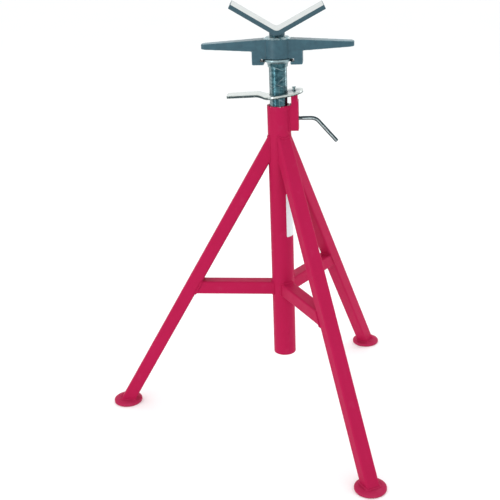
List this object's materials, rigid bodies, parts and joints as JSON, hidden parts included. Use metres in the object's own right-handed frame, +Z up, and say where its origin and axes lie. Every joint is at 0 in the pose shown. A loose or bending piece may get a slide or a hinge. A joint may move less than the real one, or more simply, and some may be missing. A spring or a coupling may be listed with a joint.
{
  "type": "pipe jack stand",
  "caption": "Tripod pipe stand with a sliding post, a friction lock plate with a clamp screw, and a screw jack that lifts a V saddle for the pipe.",
  "frame": {"origin": "on the floor, in the middle of the outline of the three feet; the post's axis is at x = 0.08539 m", "axes": "+Z up along the post, -X towards the left leg, +X towards the clamp screw's handle"},
  "size_m": [0.5718, 0.651, 0.8305],
  "materials": {
    "red_paint": "semi-gloss enamel",
    "zinc_plate": "zinc plated",
    "plain_steel": "drawn, lightly zinc plated",
    "grey_casting": "slate blue paint over the cast skin",
    "dark_plate": "thin slate blue paint"
  },
  "bodies": {
    "tripod": {"outer_tube": "red_paint", "leg_left": "red_paint", "leg_front": "red_paint", "leg_back": "red_paint", "brace_left": "red_paint", "brace_front": "red_paint", "brace_back": "red_paint", "foot_left": "red_paint", "foot_front": "red_paint", "foot_back": "red_paint", "clamp_bracket": "red_paint", "retainer_stud": "plain_steel"},
    "lock_plate": {"lock_plate": "zinc_plate"},
    "clamp_screw": {"clamp_screw": "zinc_plate"},
    "post": {"post": "plain_steel", "post_flange": "zinc_plate"},
    "nut": {"jack_nut": "grey_casting"},
    "saddle": {"jack_screw": "plain_steel", "saddle_socket": "dark_plate", "saddle_plate": "zinc_plate"}
  },
  "joints": [
    {"name": "post_slide", "type": "slide", "parent": "tripod", "child": "post", "axis": [0, 0, 1], "range_m": [-0.04, 0.385]},
    {"name": "nut_turn", "type": "hinge", "parent": "post", "child": "nut", "pos_m": [0.08539, 0, 0.742], "axis": [0, 0, -1], "range_deg": [0, 6020]},
    {"name": "saddle_lift", "type": "slide", "parent": "post", "child": "saddle", "axis": [0, 0, 1], "range_m": [0, 0.085]},
    {"name": "lock_plate_tilt", "type": "hinge", "parent": "tripod", "child": "lock_plate", "pos_m": [0.10919, 0, 0.661], "axis": [0, 1, 0], "range_deg": [0, 8.8]},
    {"name": "clamp_screw_turn", "type": "hinge", "parent": "tripod", "child": "clamp_screw", "pos_m": [0.12539, 0, 0.615], "axis": [1, 0, 0], "range_deg": [0, 720]}
  ],
  "couplings": [
    {"joint": "saddle_lift", "follows": "nut_turn", "m_per_rad": 0.00080851}
  ]
}
